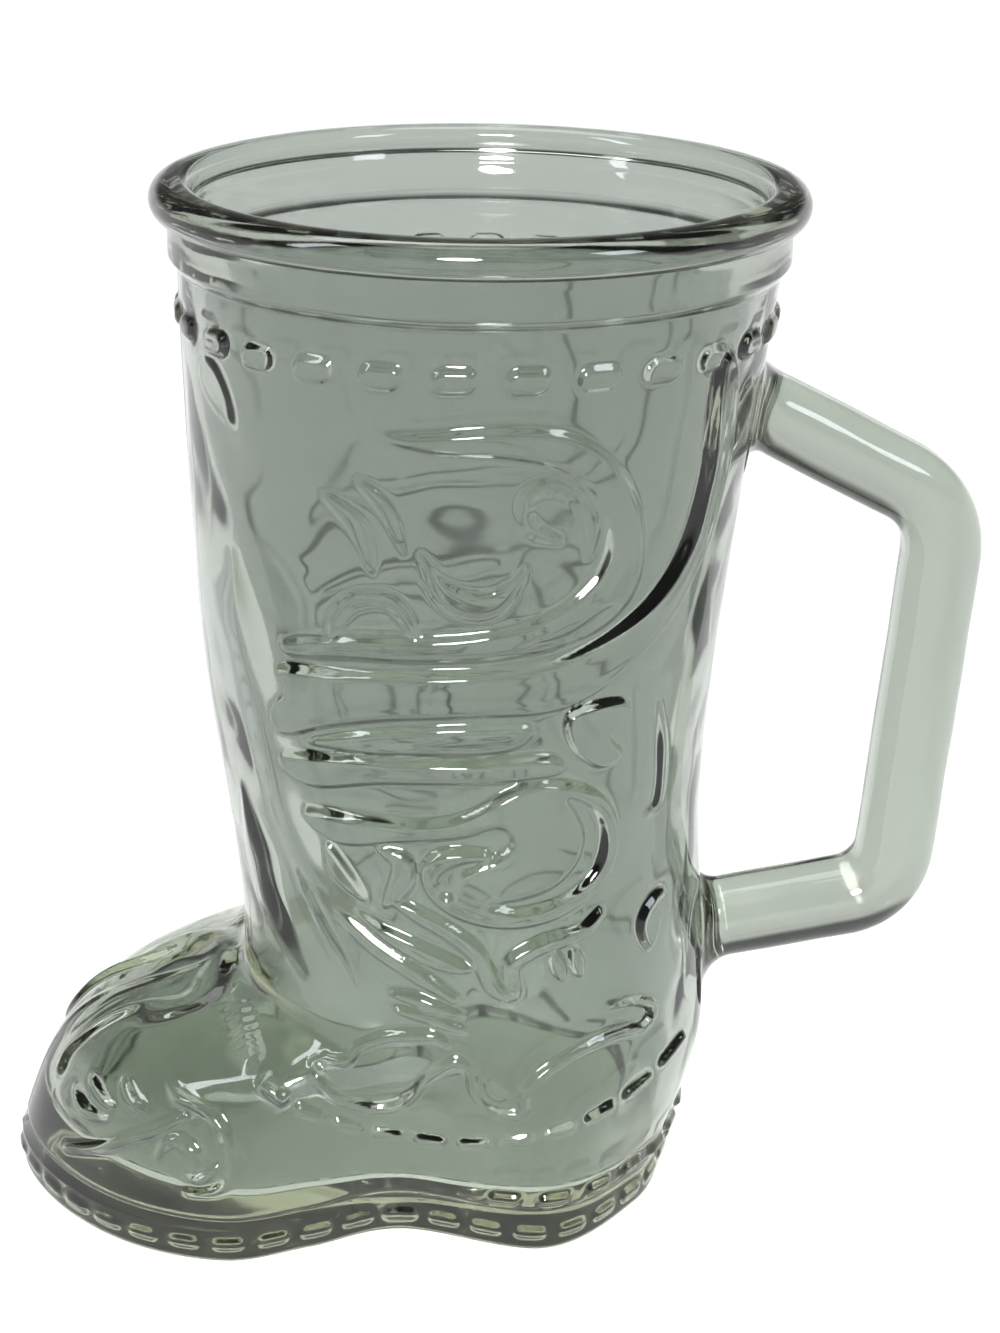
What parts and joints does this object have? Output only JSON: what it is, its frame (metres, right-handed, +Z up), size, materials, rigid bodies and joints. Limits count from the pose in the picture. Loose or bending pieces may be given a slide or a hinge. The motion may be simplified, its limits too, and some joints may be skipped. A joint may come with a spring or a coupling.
{
  "type": "boot-shaped glass mug",
  "caption": "Clear pressed-glass drinking mug shaped like a western boot, with a beaded round mouth, raised tooling and a D handle.",
  "frame": {"origin": "on the surface the mug stands on, under the centre of the round mouth", "axes": "+Z up through the mouth, -X towards the toe, +X towards the handle, symmetric left to right about the XZ plane"},
  "size_m": [0.1421, 0.089, 0.15],
  "materials": {
    "clear_glass": "clear pressed glass with a faint grey-green tint"
  },
  "bodies": {
    "root": {"rim_bead": "clear_glass", "collar_band": "clear_glass", "leg": "clear_glass", "foot": "clear_glass", "sole": "clear_glass", "handle": "clear_glass", "leg_scrolls_near": "clear_glass", "leg_scrolls_far": "clear_glass", "leg_bands": "clear_glass", "ankle_wings": "clear_glass", "toe_scrolls": "clear_glass", "collar_stitches": "clear_glass", "counter_stitches": "clear_glass", "heel_stitches": "clear_glass", "welt_stitches": "clear_glass"}
  },
  "joints": []
}
